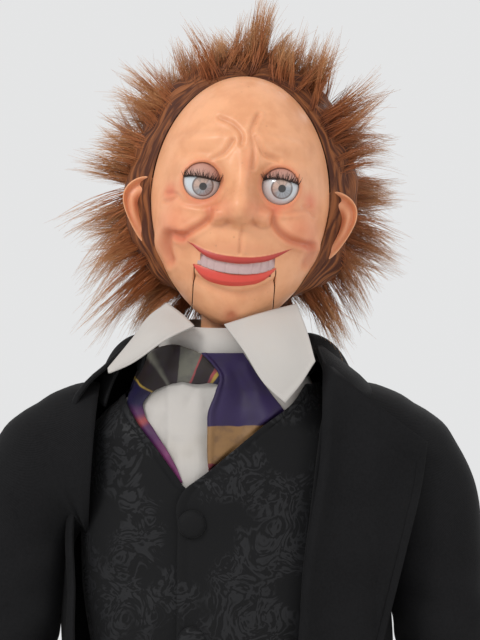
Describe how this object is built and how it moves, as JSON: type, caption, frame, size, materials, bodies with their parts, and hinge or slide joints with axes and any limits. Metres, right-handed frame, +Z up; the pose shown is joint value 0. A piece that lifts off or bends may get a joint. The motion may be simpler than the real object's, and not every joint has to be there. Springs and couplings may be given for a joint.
{
  "type": "ventriloquist dummy",
  "caption": "Ventriloquist's dummy in a dark suit: hollow head with wild hair, lever-worked jaw and sleep eyes, on a stick in a hollow body with hinged arms and legs.",
  "frame": {"origin": "centre of the hand opening, on the outer face of the body's back shell", "axes": "+Z up, the figure faces -Y, its own left side is at +X"},
  "size_m": [0.3812, 0.1962, 0.9573],
  "materials": {
    "skin": "satin painted vinyl",
    "hair": "long shaggy fibre",
    "teeth": "painted",
    "eyeball": "glossy",
    "wood": "sanded",
    "fibreboard": "matt pressed board",
    "steel": "bright",
    "brass": "bright",
    "felt": "felt",
    "twine": "waxed twine",
    "stuffed_calico": "woven cotton over stuffing",
    "shirt": "plain cotton",
    "suit": "black wool",
    "brocade": "black woven pattern with a slight sheen",
    "silk": "printed in several colours",
    "shoe": "polished"
  },
  "bodies": {
    "body": {"torso_front": "fibreboard", "torso_back": "fibreboard", "shoulder_board": "wood", "base_board": "wood", "left_arm_bolt": "steel", "right_arm_bolt": "steel", "hip_rod": "steel", "hip_hanger": "steel", "shirt": "shirt", "shirt_collar_stand": "shirt", "left_collar_wing": "shirt", "right_collar_wing": "shirt", "trousers_seat": "suit", "waistcoat": "brocade", "waistcoat_button_1": "brocade", "waistcoat_button_2": "brocade", "waistcoat_button_3": "brocade", "jacket": "suit", "jacket_collar": "suit", "left_lapel": "suit", "necktie_band": "silk", "necktie_blade": "silk"},
    "neck_cup": {"neck_socket_cup": "wood"},
    "neck_ring": {"neck_felt_ring": "felt"},
    "head": {"face_shell": "skin", "skull_back": "skin", "wig": "hair", "upper_teeth": "teeth", "neck": "skin", "head_stick": "wood", "jaw_axle": "steel", "jaw_spring": "steel", "jaw_cord": "twine", "eye_bracket": "steel"},
    "jaw": {"jaw": "skin"},
    "lever": {"jaw_lever": "brass"},
    "eyes": {"left_eye": "eyeball", "right_eye": "eyeball", "eye_rocker": "steel"},
    "left_upper_arm": {"left_upper_arm": "stuffed_calico", "left_sleeve_upper": "suit"},
    "left_forearm": {"left_forearm": "stuffed_calico", "left_sleeve_lower": "suit", "left_hand": "skin"},
    "left_thigh": {"left_thigh": "stuffed_calico", "left_trouser_upper": "suit"},
    "left_shin": {"left_shin": "stuffed_calico", "left_trouser_lower": "suit", "left_shoe": "shoe"},
    "right_upper_arm": {"right_upper_arm": "stuffed_calico", "right_sleeve_upper": "suit"},
    "right_forearm": {"right_forearm": "stuffed_calico", "right_sleeve_lower": "suit", "right_hand": "skin"},
    "right_thigh": {"right_thigh": "stuffed_calico", "right_trouser_upper": "suit"},
    "right_shin": {"right_shin": "stuffed_calico", "right_trouser_lower": "suit", "right_shoe": "shoe"}
  },
  "joints": [
    {"name": "head_turn", "type": "hinge", "parent": "body", "child": "neck_cup", "pos_m": [0, -0.052, 0.182], "axis": [0, 0, 1], "range_deg": [-80, 80]},
    {"name": "head_lean", "type": "hinge", "parent": "neck_cup", "child": "neck_ring", "pos_m": [0, -0.052, 0.182], "axis": [0, 1, 0], "range_deg": [-10, 6]},
    {"name": "head_nod", "type": "hinge", "parent": "neck_ring", "child": "head", "pos_m": [0, -0.052, 0.182], "axis": [1, 0, 0], "range_deg": [-6, 8]},
    {"name": "jaw_open", "type": "hinge", "parent": "head", "child": "jaw", "pos_m": [0.00698, -0.04, 0.28176], "axis": [0.9976, 0, -0.0698], "range_deg": [0, 14], "stiffness_Nm_per_rad": 0.08, "springref_deg": -34.38, "deforming": ["jaw_spring", "jaw_cord"]},
    {"name": "lever_pull", "type": "hinge", "parent": "head", "child": "lever", "pos_m": [-0.00732, -0.052, 0.07726], "axis": [0.9976, 0, -0.0698], "range_deg": [0, 25.6]},
    {"name": "eyes_sleep", "type": "hinge", "parent": "head", "child": "eyes", "pos_m": [0.01018, -0.1025, 0.32764], "axis": [0.9976, 0, -0.0698], "range_deg": [-6, 62]},
    {"name": "left_shoulder", "type": "hinge", "parent": "body", "child": "left_upper_arm", "pos_m": [0.137, -0.052, 0.138], "axis": [-1, 0, 0], "range_deg": [-40, 120]},
    {"name": "left_elbow", "type": "hinge", "parent": "left_upper_arm", "child": "left_forearm", "pos_m": [0.154, -0.052, -0.004], "axis": [-1, 0, 0], "range_deg": [0, 95]},
    {"name": "left_hip", "type": "hinge", "parent": "body", "child": "left_thigh", "pos_m": [0.044, -0.056, -0.15], "axis": [-1, 0, 0], "range_deg": [0, 88]},
    {"name": "left_knee", "type": "hinge", "parent": "left_thigh", "child": "left_shin", "pos_m": [0.046, -0.068, -0.305], "axis": [1, 0, 0], "range_deg": [0, 86]},
    {"name": "right_shoulder", "type": "hinge", "parent": "body", "child": "right_upper_arm", "pos_m": [-0.137, -0.052, 0.138], "axis": [-1, 0, 0], "range_deg": [-40, 120]},
    {"name": "right_elbow", "type": "hinge", "parent": "right_upper_arm", "child": "right_forearm", "pos_m": [-0.154, -0.052, -0.004], "axis": [-1, 0, 0], "range_deg": [0, 95]},
    {"name": "right_hip", "type": "hinge", "parent": "body", "child": "right_thigh", "pos_m": [-0.044, -0.056, -0.15], "axis": [-1, 0, 0], "range_deg": [0, 88]},
    {"name": "right_knee", "type": "hinge", "parent": "right_thigh", "child": "right_shin", "pos_m": [-0.046, -0.068, -0.305], "axis": [1, 0, 0], "range_deg": [0, 86]}
  ],
  "couplings": [
    {"joint": "lever_pull", "follows": "jaw_open", "ratio": 1.8276}
  ]
}
